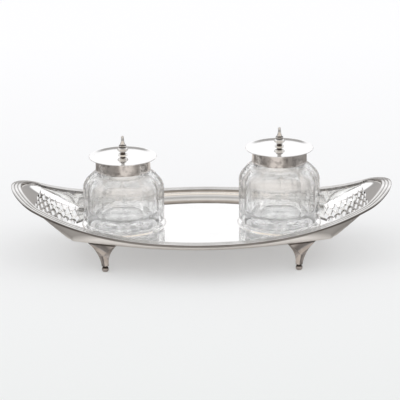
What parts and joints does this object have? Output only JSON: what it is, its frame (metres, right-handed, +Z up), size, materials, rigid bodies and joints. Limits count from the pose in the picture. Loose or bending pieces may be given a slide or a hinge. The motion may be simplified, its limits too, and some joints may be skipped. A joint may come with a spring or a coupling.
{
  "type": "desk inkstand",
  "caption": "Boat-shaped silver desk tray with pierced upswept ends on bracket feet, holding two lift-off fluted glass inkwells with hinged lids.",
  "frame": {"origin": "on the desk, under the middle of the tray", "axes": "+X along the tray to the right end, the front faces -Y, +Z up"},
  "size_m": [0.2792, 0.138, 0.093],
  "materials": {
    "silver": "polished silver",
    "glass": "clear fluted glass",
    "plaster": "set plaster of paris"
  },
  "bodies": {
    "tray": {"tray_body": "silver", "rim_border": "silver", "front_left_foot": "silver", "front_right_foot": "silver", "back_left_foot": "silver", "back_right_foot": "silver", "left_seat_ring": "silver", "right_seat_ring": "silver"},
    "left_inkwell": {"left_bottle": "glass", "left_collar_cement": "plaster", "left_collar": "silver", "left_collar_knuckles": "silver", "left_hinge_pin": "silver"},
    "left_lid_set": {"left_lid": "silver", "left_lid_bezel": "silver", "left_lid_knuckle": "silver", "left_finial": "silver", "left_finial_nut": "silver"},
    "right_inkwell": {"right_bottle": "glass", "right_collar_cement": "plaster", "right_collar": "silver", "right_collar_knuckles": "silver", "right_hinge_pin": "silver"},
    "right_lid_set": {"right_lid": "silver", "right_lid_bezel": "silver", "right_lid_knuckle": "silver", "right_finial": "silver", "right_finial_nut": "silver"}
  },
  "joints": [
    {"name": "left_bottle_lift", "type": "slide", "parent": "tray", "child": "left_inkwell", "axis": [0, 0, 1], "range_m": [0, 0.06]},
    {"name": "left_lid_hinge", "type": "hinge", "parent": "left_inkwell", "child": "left_lid_set", "pos_m": [-0.0572, 0.0218, 0.0701], "axis": [-1, 0, 0], "range_deg": [0, 105]},
    {"name": "right_bottle_lift", "type": "slide", "parent": "tray", "child": "right_inkwell", "axis": [0, 0, 1], "range_m": [0, 0.06]},
    {"name": "right_lid_hinge", "type": "hinge", "parent": "right_inkwell", "child": "right_lid_set", "pos_m": [0.0572, 0.0218, 0.0755], "axis": [-1, 0, 0], "range_deg": [0, 105]}
  ]
}
